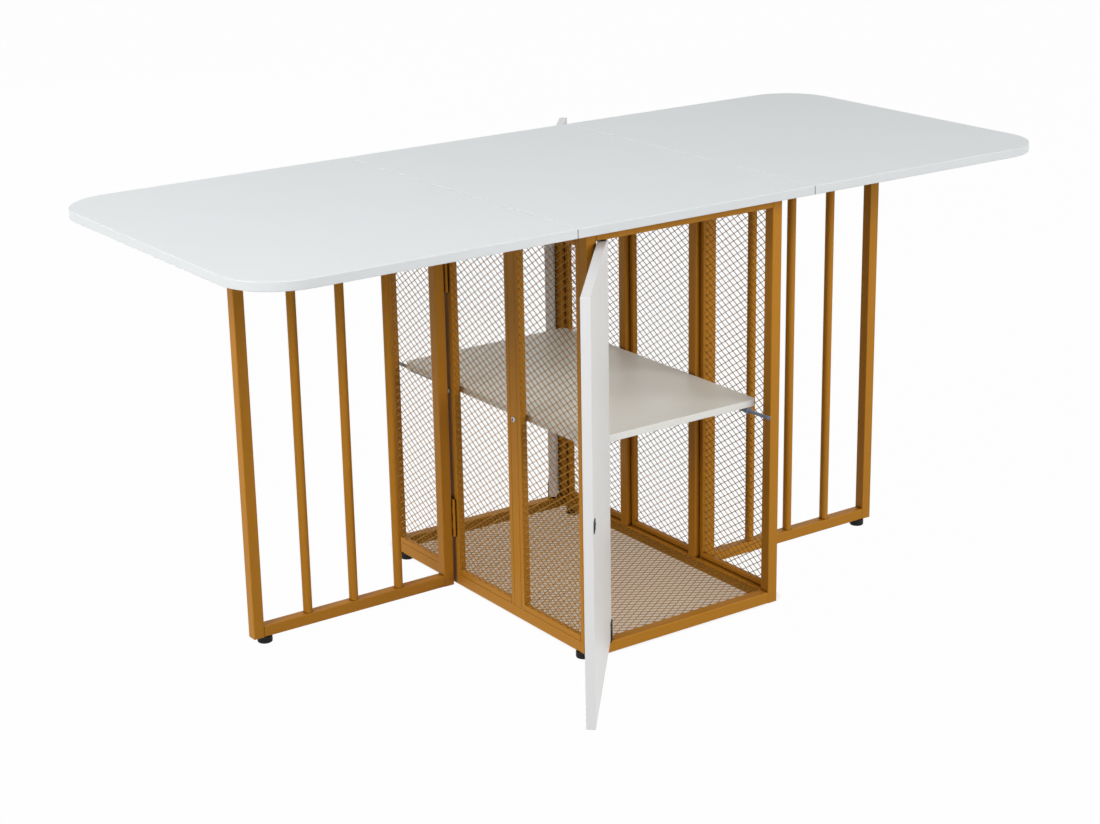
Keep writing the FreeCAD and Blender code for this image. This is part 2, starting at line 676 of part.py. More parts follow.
def gate_hinges():
    """Two butt hinges on each gate; returns the pins."""
    fixed = []
    pins = []
    post_plate = (f"{LEFT} - gate_hinge_thickness", LEFT)
    gate_plate = (STILE, f"{STILE} + gate_hinge_thickness")
    reach = "(gate_knuckle_radius + running_gap)"
    away = (f"{GATE_PIN_Y} + {reach}", f"{GATE_PIN_Y} + gate_hinge_plate")
    near = (GATE_PIN_Y, f"{GATE_PIN_Y} + {reach}")
    pin = (GATE_PIN_X, GATE_PIN_Y)
    bore = "gate_pin_radius + fit_gap"
    for _, side, _, turn in TWINS:
        moving = []
        for level in ("low", "high"):
            start = f"gate_hinge_{level}"
            span = (start, "gate_hinge_length")
            fixed.append(hinge_half(
                f"{side}_gate_hinge_fixed_{level}", "z", pin, (post_plate, away), (post_plate, near),
                span, FIXED_KNUCKLES, "gate_knuckle_radius", bore, turn,
            ))
            moving.append(hinge_half(
                f"{side}_gate_hinge_moving_{level}", "z", pin, (gate_plate, away), (gate_plate, near),
                span, MOVING_KNUCKLES, "gate_knuckle_radius", bore, turn,
            ))
            axle = new_body(f"{side}_gate_hinge_pin_{level}", turn, kept=False)
            rod(axle, "z", pin, (start, f"{start} + gate_hinge_length"), "gate_pin_radius")
            pins.append(axle)
        group(f"{side}_gate_hinge_leaves", moving)
    group("gate_hinge_plates", fixed)
    return pins


def hang(body, turn):
    """Hangs a door's piece, drawn round the pivot's axis, open on its pivot."""
    x, y = (PIVOT_X, PIVOT_Y) if turn == 0 else (f"-{PIVOT_X}", f"-{PIVOT_Y}")
    stand(body, x, y, turned=("0; 0; 1", f"{turn} - door_open_angle"))


def door(front, turn):
    """Door with its pivots and strike plate, drawn closed round its pivot's axis."""
    hinge_edge = "-pivot_inset"
    free_edge = f"(2 * {BAY} - door_hinge_gap - door_free_gap - pivot_inset)"
    face = ("-door_thickness / 2", "door_thickness / 2")
    panel = board(f"{front}_door_panel", (hinge_edge, free_edge), face, (DOOR_FOOT, DOOR_HEAD))
    ease(panel, "board_edge_round", lambda edge: True)
    socket = (f"{DOOR_HEAD} - pivot_socket_depth - fit_gap", f"{DOOR_HEAD} + overrun")
    rod(panel, "z", ("0", "0"), socket, "pivot_radius + fit_gap", cut=True)
    hang(panel, turn)

    bracket = new_body(f"{front}_door_bracket", kept=False)
    heel = f"({hinge_edge} + bracket_setback)"
    leg = (face[1], f"{face[1]} + bracket_thickness")
    sole = (f"{DOOR_FOOT} - bracket_thickness", DOOR_FOOT)
    block(bracket, (heel, f"{heel} + bracket_length"), (face[0], leg[1]), sole)
    block(bracket, (heel, f"{heel} + bracket_width"), leg, (DOOR_FOOT, f"{DOOR_FOOT} + bracket_height"))
    rod(bracket, "z", ("0", "0"), (f"{sole[0]} - pivot_reach", sole[0]), "pivot_radius")
    hang(bracket, turn)
    pin = new_body(f"{front}_door_upper_pin", kept=False)
    upper = (f"{DOOR_HEAD} - pivot_socket_depth", f"{DOOR_HEAD} + pivot_reach")
    rod(pin, "z", ("0", "0"), upper, "pivot_radius")
    hang(pin, turn)

    strike = new_body(f"{front}_door_strike", kept=False)
    x = f"({LATCH_X} - {PIVOT_X})"
    block(
        strike,
        (f"{x} - strike_width / 2", f"{x} + strike_width / 2"),
        (face[1], f"{face[1]} + strike_thickness"),
        (f"{LATCH_Z} - strike_height / 2", f"{LATCH_Z} + strike_height / 2"),
    )
    hang(strike, turn)
    group(f"{front}_door_fittings", [bracket, pin, strike])


def door_bushes():
    """Flanged bushes in the front and rear rails for the doors' pivot pins."""
    bushes = []
    centre = (PIVOT_X, PIVOT_Y)
    for front, _, _, turn in TWINS:
        lower = new_body(f"{front}_lower_bush", turn, kept=False)
        rod(lower, "z", centre, (SILL, f"{SILL} + bush_flange_height"), "bush_flange_radius")
        rod(lower, "z", centre, (f"{SILL} - bush_sleeve_length", SILL), "bush_sleeve_radius")
        upper = new_body(f"{front}_upper_bush", turn, kept=False)
        rod(upper, "z", centre, (f"{HEAD} - bush_flange_height", HEAD), "bush_flange_radius")
        rod(upper, "z", centre, (HEAD, f"{HEAD} + bush_sleeve_length"), "bush_sleeve_radius")
        for bush, level in ((lower, SILL), (upper, HEAD)):
            span = (f"{level} - bush_sleeve_length - overrun", f"{level} + bush_sleeve_length + overrun")
            rod(bush, "z", centre, span, "pivot_radius + fit_gap", cut=True)
            bushes.append(bush)
    group("door_pivot_bushes", bushes)


def latches():
    """Push latches under the shelf's corners: housings, and the plungers in them."""
    housings = []
    centre = (LATCH_X, LATCH_Z)
    end = f"{LATCH_Y} + latch_length"
    for front, _, _, turn in TWINS:
        housing = new_body(f"{front}_latch_body", turn, kept=False)
        block(
            housing,
            (f"{LATCH_X} - latch_plate_half", f"{LATCH_X} + latch_plate_half"),
            (f"{LATCH_Y} + latch_collar_length", f"{LATCH_Y} + latch_collar_length + latch_plate_length"),
            (f"{UNDER_SHELF} - latch_plate_thickness", UNDER_SHELF),
        )
        rod(housing, "y", centre, (LATCH_Y, end), "latch_radius")
        rod(housing, "y", centre, (LATCH_Y, f"{LATCH_Y} + latch_collar_length"), "latch_collar_radius")
        bore = (f"{LATCH_Y} - overrun", f"{end} - latch_end_wall")
        rod(housing, "y", centre, bore, "plunger_radius + plunger_gap", cut=True)
        housings.append(housing)

        plunger = new_body(f"{front}_plunger", turn)
        tip = f"{FRONT} - plunger_out"
        rod(plunger, "y", centre, (tip, f"{tip} + plunger_tip_length"), "plunger_tip_radius")
        tip_end = -sheet.cabinet_depth / 2 - sheet.plunger_out
        ease(plunger, "plunger_tip_round", lambda edge: abs(edge.BoundBox.YMax - tip_end) < SAME_PLACE)
        shank = (f"{tip} + plunger_tip_length", f"{tip} + plunger_length")
        rod(plunger, "y", centre, shank, "plunger_radius")
    group("latch_bodies", housings)


def faults():
    """Every object that failed, and every sub-part without a sound shape."""
    found = []
    for thing in doc.Objects:
        if {"Invalid", "Error"} & set(thing.State):
            found.append(f"{thing.Name}: {thing.State}")
    for subpart in subparts:
        if subpart.Shape.isNull() or not subpart.Shape.isValid() or not subpart.Shape.Solids:
            found.append(f"{subpart.Label}: shape")
    return found


def main():
    for front, side, far_side, turn in TWINS:
        cabinet_posts(front, side, far_side, turn)
        cabinet_rails(front, side, turn)
        leaf_panel(side, turn)
        gate_frame(side, turn)
        door(front, turn)
    panel_frames()
    side_sheets()
    base_sheet()
    centre_panel()
    panel_screws()
    cabinet_feet()
    shelf_and_bolts()
    group("hinge_pins", leaf_hinges() + gate_hinges())
    door_bushes()
    latches()
    doc.recompute()

    found = faults()
    if found:
        raise RuntimeError("; ".join(found))
    os.makedirs("parts", exist_ok=True)
    for subpart in subparts:
        subpart.Shape.exportStep(f"parts/{subpart.Label}.step")
    solids = sum(len(subpart.Shape.Solids) for subpart in subparts)
    print(f"{len(subparts)} sub-parts, {solids} solids")


main()
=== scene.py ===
# %% [markdown]
# # A drop-leaf dining table with shelves
#
# The table is a gold cabinet of square tube with mesh sides, a white shelf and two white doors.
# Its white top has a fixed middle panel and two leaves that rest on swing-out gates. Another
# program made the tubes, boards and hinges as solids, and they come here as a fixed frame. This
# lesson adds what solids can't show well: the fine expanded metal, the heads of screws and bolts,
# the finishes, the light and the camera.

# %% Load the frame
import json
import math

import bmesh
import bpy
from mathutils import Matrix, Vector


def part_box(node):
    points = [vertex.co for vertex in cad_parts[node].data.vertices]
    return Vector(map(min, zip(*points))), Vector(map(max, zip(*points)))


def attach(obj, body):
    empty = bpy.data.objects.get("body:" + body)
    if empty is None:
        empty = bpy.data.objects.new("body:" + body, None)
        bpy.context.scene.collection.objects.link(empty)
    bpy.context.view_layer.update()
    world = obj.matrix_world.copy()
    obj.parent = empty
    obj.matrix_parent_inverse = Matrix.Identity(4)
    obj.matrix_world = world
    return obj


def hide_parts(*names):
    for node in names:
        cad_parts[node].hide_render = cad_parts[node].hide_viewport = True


MM = 0.001
scene = bpy.context.scene
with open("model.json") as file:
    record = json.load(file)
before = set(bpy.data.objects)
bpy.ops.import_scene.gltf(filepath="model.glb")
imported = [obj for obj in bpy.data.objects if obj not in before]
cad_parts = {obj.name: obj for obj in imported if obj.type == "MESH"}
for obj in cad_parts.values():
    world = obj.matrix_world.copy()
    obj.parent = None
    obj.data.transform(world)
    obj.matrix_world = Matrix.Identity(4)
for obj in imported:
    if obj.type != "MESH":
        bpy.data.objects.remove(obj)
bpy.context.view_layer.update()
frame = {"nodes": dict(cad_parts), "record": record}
nodes = frame["nodes"]

# %% [markdown]
# ## The camera
#
# The photo was taken from the front left, a little above the table top. Instead of moving a
# camera about until it looks right, its place and turn were worked out from the edges of the top,
# the cabinet and the gates, whose sizes are known. The same numbers are set here, so that the
# edges of the render fall on those of the photo.

# %% Place the camera
PHOTO_WIDTH = 1100              # pixels
FOCAL_LENGTH = 2241.557         # pixels of the photo
SENSOR_WIDTH = 36.0             # millimetres
EYE = Vector((-2182.039, -3057.272, 1551.199)) * MM
YAW, PITCH, ROLL = (math.radians(angle) for angle in (34.82785, 18.16761, -1.06842))

level = Vector((math.cos(YAW), -math.sin(YAW), 0))
forward = Vector((math.sin(YAW) * math.cos(PITCH), math.cos(YAW) * math.cos(PITCH),
                  -math.sin(PITCH)))
rising = level.cross(forward)
image_x = level * math.cos(ROLL) + rising * math.sin(ROLL)
image_y = rising * math.cos(ROLL) - level * math.sin(ROLL)
camera_turn = Matrix((image_x, image_y, -forward)).transposed()

camera = bpy.data.objects.new("camera", bpy.data.cameras.new("camera"))
camera.data.sensor_fit = "HORIZONTAL"
camera.data.sensor_width = SENSOR_WIDTH
camera.data.lens = FOCAL_LENGTH / PHOTO_WIDTH * SENSOR_WIDTH
camera.matrix_world = Matrix.Translation(EYE) @ camera_turn.to_4x4()
scene.collection.objects.link(camera)
scene.camera = camera
print("lens", round(camera.data.lens, 2), "mm")

# %% [markdown]
# ## Helpers for nodes and colours
#
# Every material and every Geometry Nodes tree below is made of nodes. So one function adds a node
# with its settings, and another fills its sockets: with a number, or with another node's output.
# The Mix node holds one set of sockets for each kind of value, all with the same names, so its
# colour sockets go by number. Colours are written as sRGB hex values, as a paint chart or a
# picture editor gives them, and the last function turns them into the linear light values that
# Blender works with.

# %% Nodes and colours
MIX_SHARE, MIX_FROM, MIX_TO = 0, 6, 7       # inputs of a Mix node that blends colours
MIX_COLOUR = 2                              # and its output


def feed(node, inputs):
    """Fills sockets, by name or number, with a value, an output or a node's first output."""
    for socket, value in dict(inputs).items():
        if isinstance(value, bpy.types.Node):
            value = value.outputs[0]
        if isinstance(value, bpy.types.NodeSocket):
            node.id_data.links.new(value, node.inputs[socket])
        else:
            node.inputs[socket].default_value = value


def add(tree, kind, inputs=(), **settings):
    """Adds one node with its settings to a tree and fills its sockets."""
    node = tree.nodes.new(kind)
    for setting, value in settings.items():
        setattr(node, setting, value)
    feed(node, inputs)
    return node


def linear(code):
    """Turns an sRGB hex colour into linear red, green, blue and alpha."""
    parts = [int(code[at:at + 2], 16) / 255 for at in (1, 3, 5)]
    return [part / 12.92 if part <= 0.04045 else ((part + 0.055) / 1.055) ** 2.4
            for part in parts] + [1.0]


print("mid grey is", round(linear("#808080")[0], 3), "in linear light")

# %% [markdown]
# ## The studio
#
# The photo is a catalogue picture: large soft lamps, the strongest on the left, and a background
# of pure white. A white background from stronger lamps would bleach the table too. So the world
# uses the Light Path node instead: rays from the camera and rays off shiny surfaces see plain
# white, and the light that falls on the table stays at an even level.

# %% Make the white room
WHITE = linear("#FFFFFF")
AMBIENT = 0.1


def seen_directly(tree):
    """1 for rays from the camera or off shiny surfaces, 0 for rays that only carry light."""
    rays = add(tree, "ShaderNodeLightPath").outputs
    shiny = add(tree, "ShaderNodeMath",
                {0: rays["Is Glossy Ray"], 1: rays["Is Transmission Ray"]}, operation="ADD")
    return add(tree, "ShaderNodeMath",
               {0: rays["Is Camera Ray"], 1: shiny}, operation="ADD", use_clamp=True)


scene.view_settings.view_transform = "Standard"
world = bpy.data.worlds.new("white studio")
world.use_nodes = True
scene.world = world
room = world.node_tree
room.nodes.clear()
soft_light = add(room, "ShaderNodeBackground", {"Color": WHITE, "Strength": AMBIENT})
backdrop = add(room, "ShaderNodeBackground", {"Color": WHITE, "Strength": 1.0})
wall = add(room, "ShaderNodeMixShader", {0: seen_directly(room), 1: soft_light, 2: backdrop})
add(room, "ShaderNodeOutputWorld", {"Surface": wall})
print("the room gives", AMBIENT, "of the white that the camera sees")

# %% [markdown]
# The floor does the same, and keeps a share of real diffuse grey, which carries the shadow. That
# share is largest below the cabinet and a little behind it, away from the lamps. There the floor
# is also a painted shadow, darker than the white around it even where light falls, and its glow
# has a painted warm tint for the light that the gold mesh throws down. So the nodes measure how
# far a spot lies outside a rectangle there, and let the shade and the tint fade out within a few
# centimetres.

# %% Lay the floor
FLOOR_SIZE = 60.0                   # metres
SHADOW_MIDDLE = (0.03, 0.04, 0.0)
SHADOW_HALF = (0.175, 0.295, 0.0)
FADE = 0.045
SHADED, CLEAR = 0.52, 0.985         # the plain white's share in the shade and outside it
PAINTED_GOLD_BOUNCE = linear("#E8D2BA")
FLOOR_GREY = linear("#9E9E9E")

white_floor = bpy.data.materials.new("White studio floor")
white_floor.use_nodes = True
paint = white_floor.node_tree
paint.nodes.clear()
spot = add(paint, "ShaderNodeTexCoord").outputs["Object"]
from_middle = add(paint, "ShaderNodeVectorMath", {0: spot, 1: SHADOW_MIDDLE}, operation="SUBTRACT")
sideways = add(paint, "ShaderNodeVectorMath", {0: from_middle}, operation="ABSOLUTE")
beyond = add(paint, "ShaderNodeVectorMath", {0: sideways, 1: SHADOW_HALF}, operation="SUBTRACT")
outside = add(paint, "ShaderNodeVectorMath", {0: beyond, 1: (0.0, 0.0, 0.0)}, operation="MAXIMUM")
distance = add(paint, "ShaderNodeVectorMath", {0: outside}, operation="LENGTH").outputs["Value"]
# Painted shadow and painted bounce light: inside the rectangle the plain white's share drops and
# its glow turns warm.
bright = add(paint, "ShaderNodeMapRange",
             {"Value": distance, "From Max": FADE, "To Min": SHADED, "To Max": CLEAR})
painted_tint_fade = add(paint, "ShaderNodeMapRange", {"Value": distance, "From Max": FADE})
tint = add(paint, "ShaderNodeMix", {MIX_SHARE: painted_tint_fade, MIX_FROM: PAINTED_GOLD_BOUNCE, MIX_TO: WHITE},
           data_type="RGBA").outputs[MIX_COLOUR]
share = add(paint, "ShaderNodeMath", {0: seen_directly(paint), 1: bright}, operation="MULTIPLY")
matt = add(paint, "ShaderNodeBsdfDiffuse", {"Color": FLOOR_GREY})
glow = add(paint, "ShaderNodeEmission", {"Color": tint, "Strength": 1.0})
surface = add(paint, "ShaderNodeMixShader", {0: share, 1: matt, 2: glow})
add(paint, "ShaderNodeOutputMaterial", {"Surface": surface})

edge = FLOOR_SIZE / 2
floor_mesh = bpy.data.meshes.new("floor")
floor_mesh.from_pydata([(-edge, -edge, 0), (edge, -edge, 0), (edge, edge, 0), (-edge, edge, 0)],
                       [], [(0, 1, 2, 3)])
floor_mesh.materials.append(white_floor)
floor = bpy.data.objects.new("floor", floor_mesh)
scene.collection.objects.link(floor)
print("floor of", FLOOR_SIZE, "m with", len(paint.nodes), "nodes in its paint")

# %% [markdown]
# The lamps are round softboxes, as wide as a studio's, because a wide lamp casts soft shadows.
# Each is hung by two angles and looks at the middle of the table. The one behind only keeps the
# rear from going dark; it is left out of reflections, or its glare would bleach the top.

# %% Hang the lamps
LAMPS = (
    # name, degrees from the front towards the left, degrees up, watts, seen in reflections
    ("left softbox", 86, 31, 242.0, True),
    ("right softbox", -33, 17, 118.0, True),
    ("front softbox", 4, 35, 104.0, True),
    ("back softbox", 180, 12, 85.0, False),
)
LAMP_DIAMETER = 3.0
LAMP_DISTANCE = 5.5
AIM = Vector((0, 0, 0.4))

for lamp_name, azimuth, elevation, power, mirrored in LAMPS:
    across, upwards = math.radians(azimuth), math.radians(elevation)
    towards = Vector((-math.sin(across) * math.cos(upwards),
                      -math.cos(across) * math.cos(upwards), math.sin(upwards)))
    lamp_data = bpy.data.lights.new(lamp_name, "AREA")
    lamp_data.shape = "DISK"
    lamp_data.size = LAMP_DIAMETER
    lamp_data.energy = power
    lamp = bpy.data.objects.new(lamp_name, lamp_data)
    lamp.location = AIM + LAMP_DISTANCE * towards
    lamp.rotation_euler = (-towards).to_track_quat("-Z", "Y").to_euler()
    lamp.visible_glossy = mirrored
    scene.collection.objects.link(lamp)
print("lamps:", [lamp_name for lamp_name, *_ in LAMPS])


# %% [markdown]
# ## White melamine-faced board
#
# The top, the shelf and the doors are chipboard under white melamine: paper soaked in resin and
# pressed on hot, between steel sheets with a faint grain. To the eye it is an even white with a
# satin sheen, broken by a pearl-like texture finer than a millimetre. The cut edges carry a glued
# strip of ABS, which is a little smoother; its greyer tone is partly the strip's own and partly
# painted shade. One function makes all three boards, because the direction of a board's faces
# tells the material where its edges are: the top lies, the doors stand, and the shelf lies. They
# are one white in three copies with painted light: the top cooler and a little darker, the doors
# plain, and the shelf a brighter, warmer white for the light that reaches it inside the gold
# cabinet. Where two boards meet, the gap gets painted shade: the Ambient Occlusion node finds it,
# because it measures how closed in a spot is, and the colour turns grey there.

# %% Make the board material
# Painted light: one white board in three copies, each toned for the light that falls on it; the
# edge tone is partly the strip's own and partly painted shade.
TOP_WHITE_PAINTED_LIGHT = ("#E4E8EA", "#E1E5E6", "#DDE0E1")      # two tones of the faces, and the edge strip's
DOOR_WHITE_PAINTED_LIGHT = ("#EFEFEE", "#ECECEA", "#E4E4E4")
SHELF_WHITE_PAINTED_LIGHT = ("#F8F7EE", "#F5F4EB", "#EDECE6")
JOINT_PAINTED_SHADE = linear("#6E6F70")
JOINT_SHADE_REACH = 2.5 * MM          # painted shade darkens a joint between boards within this distance
PEARL = 1.6 * MM        # the grain is near 0.5 mm; drawn coarser, or it would be under a pixel
PEARL_DEPTH = 0.2 * MM
CLOUD = 180 * MM        # slow change of tone from one pressing to the next


def new_material(name):
    """A material with Blender's usual shader; returns it with its tree and that shader."""
    material = bpy.data.materials.new(name)
    material.use_nodes = True
    tree = material.node_tree
    return material, tree, tree.nodes["Principled BSDF"]


def melamine_board(name, face, tones):
    """White board whose two faces look along this direction; its other sides are edge strip."""
    material, tree, shader = new_material(name)
    place = add(tree, "ShaderNodeTexCoord").outputs
    facing = add(tree, "ShaderNodeVectorMath", {0: place["Normal"], 1: face},
                 operation="DOT_PRODUCT").outputs["Value"]
    flat = add(tree, "ShaderNodeMath", {0: facing}, operation="ABSOLUTE")
    on_face = add(tree, "ShaderNodeMapRange", {"Value": flat, "From Min": 0.6, "From Max": 0.9})
    cloud = add(tree, "ShaderNodeTexNoise",
                {"Vector": place["Object"], "Scale": 1 / CLOUD, "Detail": 2.0})
    first, second, edge_strip_and_shade = (linear(tone) for tone in tones)
    tone = add(tree, "ShaderNodeMix", {MIX_SHARE: cloud, MIX_FROM: first, MIX_TO: second},
               data_type="RGBA").outputs[MIX_COLOUR]
    board = add(tree, "ShaderNodeMix", {MIX_SHARE: on_face, MIX_FROM: edge_strip_and_shade, MIX_TO: tone},
                data_type="RGBA").outputs[MIX_COLOUR]
    # Painted shade: the colour turns grey where Ambient Occlusion finds a joint between boards.
    open_air = add(tree, "ShaderNodeAmbientOcclusion", {"Distance": JOINT_SHADE_REACH}, samples=6).outputs["AO"]
    clear = add(tree, "ShaderNodeMapRange",
                {"Value": open_air, "From Min": 0.25, "From Max": 0.7})
    board_with_painted_shade = add(tree, "ShaderNodeMix", {MIX_SHARE: clear, MIX_FROM: JOINT_PAINTED_SHADE, MIX_TO: board},
                  data_type="RGBA").outputs[MIX_COLOUR]
    gloss = add(tree, "ShaderNodeMapRange", {"Value": on_face, "To Min": 0.34, "To Max": 0.42})
    pearl = add(tree, "ShaderNodeTexNoise",
                {"Vector": place["Object"], "Scale": 1 / PEARL, "Detail": 2.0})
    depth = add(tree, "ShaderNodeMapRange", {"Value": on_face, "To Min": 0.02, "To Max": 0.08})
    relief = add(tree, "ShaderNodeBump",
                 {"Strength": depth, "Distance": PEARL_DEPTH, "Height": pearl})
    feed(shader, {"Base Color": board_with_painted_shade, "Roughness": gloss, "Normal": relief, "IOR": 1.5})
    return material


DOOR_OPEN = math.radians(130.5)
UP = (0, 0, 1)
DOOR_FACE = (math.sin(DOOR_OPEN), math.cos(DOOR_OPEN), 0)
lying_board = melamine_board("White melamine board, lying", UP, TOP_WHITE_PAINTED_LIGHT)
standing_board = melamine_board("White melamine board, standing", DOOR_FACE, DOOR_WHITE_PAINTED_LIGHT)
shelf_board = melamine_board("White melamine board, shelf", UP, SHELF_WHITE_PAINTED_LIGHT)
print("boards:", [board.name for board in (lying_board, standing_board, shelf_board)])

# %% [markdown]
# ## Gold powder coat
#
# The steel tubes are sprayed with a dry gold powder and baked. The powder flows together but
# never quite levels: its skin has ripples a few millimetres wide, like orange peel, and mica
# flakes in it give a fine sparkle. It is paint and not bare metal, so the shader is only partly
# metallic, with a roughness between satin and matt. Narrow gaps and corners, and faces marked
# with the shade number, get painted shade: Ambient Occlusion finds the gaps, and the colour turns
# dark brown there. The same paint covers the mesh, where the strands are too narrow for ripples;
# its tones are lighter, a painted light for the light that the thin strands catch. So the
# function takes the ripples' width and the tones.

# %% Make the powder coat
TUBE_GOLD = ("#B0751D", "#BE8124")
# Painted light: the mesh's tones are lighter than the tubes', for the light its thin strands catch.
MESH_GOLD_PAINTED_LIGHT = ("#B9842F", "#D0993E")
PAINTED_SEAM_SHADE = linear("#3A2409")
TUBE_SHADE_REACH = 8 * MM      # painted shade darkens gaps and corners nearer than this
MESH_SHADE_REACH = 0.4 * MM
FLAKE = 1.2 * MM        # real ones are near 0.05 mm; drawn coarser, or they would be under a pixel
PEEL_DEPTH = 0.3 * MM


def powder_coat(name, tones, ripple, strength, seam):
    """Gold paint with ripples of this width and bump strength, with painted shade near seams."""
    material, tree, shader = new_material(name)
    place = add(tree, "ShaderNodeTexCoord").outputs["Object"]
    flakes = add(tree, "ShaderNodeTexNoise", {"Vector": place, "Scale": 1 / FLAKE, "Detail": 1.0})
    dark, light = (linear(tone) for tone in tones)
    tone = add(tree, "ShaderNodeMix", {MIX_SHARE: flakes, MIX_FROM: dark, MIX_TO: light},
               data_type="RGBA").outputs[MIX_COLOUR]
    # Painted shade: the tone turns dark brown in gaps and corners that Ambient Occlusion finds, and
    # on faces marked with the shade number.
    open_air = add(tree, "ShaderNodeAmbientOcclusion", {"Distance": seam}, samples=6).outputs["AO"]
    open_to_light = add(tree, "ShaderNodeMapRange",
                  {"Value": open_air, "From Min": 0.35, "From Max": 0.8})
    shade = add(tree, "ShaderNodeAttribute", attribute_name="shade").outputs["Fac"]
    unshaded = add(tree, "ShaderNodeMath", {0: open_to_light, 1: shade},
                 operation="SUBTRACT", use_clamp=True)
    coat = add(tree, "ShaderNodeMix", {MIX_SHARE: unshaded, MIX_FROM: PAINTED_SEAM_SHADE, MIX_TO: tone},
               data_type="RGBA").outputs[MIX_COLOUR]
    gloss = add(tree, "ShaderNodeMapRange", {"Value": flakes, "To Min": 0.38, "To Max": 0.5})
    peel = add(tree, "ShaderNodeTexNoise", {"Vector": place, "Scale": 1 / ripple, "Detail": 1.0})
    relief = add(tree, "ShaderNodeBump",
                 {"Strength": strength, "Distance": PEEL_DEPTH, "Height": peel})
    feed(shader, {"Base Color": coat, "Roughness": gloss, "Normal": relief, "Metallic": 0.12,
                  "Specular IOR Level": 0.16})
    return material


gold_frame = powder_coat("Gold powder coat on steel tube", TUBE_GOLD, 3.5 * MM, 0.12, TUBE_SHADE_REACH)
gold_mesh = powder_coat("Gold powder coat on expanded steel", MESH_GOLD_PAINTED_LIGHT, 1.5 * MM, 0.05, MESH_SHADE_REACH)
print("made", gold_frame.name, "and", gold_mesh.name)

# %% [markdown]
# ## The small parts' finishes
#
# Feet, bushes and glide pads are black nylon moulded in a spark-eroded steel mould, which leaves
# a fine matt grain. The push latches are blue-grey acetal, a smoother and slightly shiny plastic.
# Screws, bolts and the leaf hinges are zinc-plated steel, bright with small patches of crystals.
# The doors' pivot brackets and strike plates are blackened steel. All four are the same few
# nodes, two tones and a grain, so one function makes them from a row of values.

# %% Make the small finishes
RECESS_PAINTED_SHADE = linear("#0B0B0C")
GRAIN_DEPTH = 0.2 * MM
SMALL_FINISHES = {
    # name, two tones, the grain's width in millimetres, roughness, bump strength, metallic
    "black_plastic": ("Matt black moulded nylon", "#0C0C0D", "#131315", 0.9, 0.55, 0.10, 0.0),
    "grey_plastic": ("Blue-grey moulded acetal", "#8390A0", "#909DAE", 2.0, 0.38, 0.03, 0.0),
    "zinc_steel": ("Zinc-plated steel", "#B9BABD", "#CFD0D2", 4.0, 0.32, 0.04, 1.0),
    "dark_steel": ("Blackened steel", "#26272A", "#34353A", 2.5, 0.42, 0.05, 0.6),
}


def small_finish(name, dark, light, width, roughness, strength, metallic):
    """A two-tone finish with a grain of this width, for plastic or plated steel."""
    material, tree, shader = new_material(name)
    place = add(tree, "ShaderNodeTexCoord").outputs["Object"]
    grain = add(tree, "ShaderNodeTexNoise",
                {"Vector": place, "Scale": 1 / (width * MM), "Detail": 2.0})
    tone = add(tree, "ShaderNodeMix",
               {MIX_SHARE: grain, MIX_FROM: linear(dark), MIX_TO: linear(light)},
               data_type="RGBA").outputs[MIX_COLOUR]
    # Painted shade: faces marked with the shade number, such as recesses, go near black.
    shade = add(tree, "ShaderNodeAttribute", attribute_name="shade").outputs["Fac"]
    deep = add(tree, "ShaderNodeMix", {MIX_SHARE: shade, MIX_FROM: tone, MIX_TO: RECESS_PAINTED_SHADE},
               data_type="RGBA").outputs[MIX_COLOUR]
    relief = add(tree, "ShaderNodeBump",
                 {"Strength": strength, "Distance": GRAIN_DEPTH, "Height": grain})
    feed(shader, {"Base Color": deep, "Normal": relief, "Roughness": roughness,
                  "Metallic": metallic, "Specular IOR Level": 0.2})
    return material


finishes = {slot: small_finish(*row) for slot, row in SMALL_FINISHES.items()}
finishes.update(white_board=lying_board, gold_frame=gold_frame, gold_mesh=gold_mesh)
print("finishes:", sorted(material.name for material in finishes.values()))

# %% [markdown]
# ## Dress the solids
#
# The record that comes with the frame names a finish for each solid. Each node gets its own in an
# object slot, so that its mesh stays as it came. Only the boards of the doors and of the shelf
# differ from the record's white board.

# %% Give each solid its finish
for part in frame["record"]["subparts"]:
    finish = finishes[part["material_slot"]]
    if part["node"].endswith("door_panel"):
        finish = standing_board
    elif part["node"] == "shelf":
        finish = shelf_board
    for slot in nodes[part["node"]].material_slots:
        slot.link = "OBJECT"
        slot.material = finish

# %% [markdown]
# ## Expanded metal
#
# The sides and the base of the cabinet are expanded metal: a steel sheet is slit in staggered
# rows and pulled, and each slit opens to a diamond. What is left are wavy strands, joined side by
# side at short bonds. The pull also tips them all the same way, like slats, so that strands
# rising to the left catch the light differently from strands rising to the right. Drawing
# diamonds as a texture would lose their thickness and the view through them, so Geometry Nodes
# draw the metal as it is made. The first nodes bend one strand: its points come in pairs, one
# pair to a bond, and the bonds lie high and low in turn.


# %% Bend one strand
def new_tree(name, sizes):
    """A Geometry Nodes tree with these named inputs; returns it with their sockets."""
    tree = bpy.data.node_groups.new(name, "GeometryNodeTree")
    tree.interface.new_socket("Geometry", in_out="INPUT", socket_type="NodeSocketGeometry")
    for size, kind in sizes.items():
        tree.interface.new_socket(size, in_out="INPUT", socket_type="NodeSocket" + kind)
    tree.interface.new_socket("Geometry", in_out="OUTPUT", socket_type="NodeSocketGeometry")
    return tree, add(tree, "NodeGroupInput").outputs


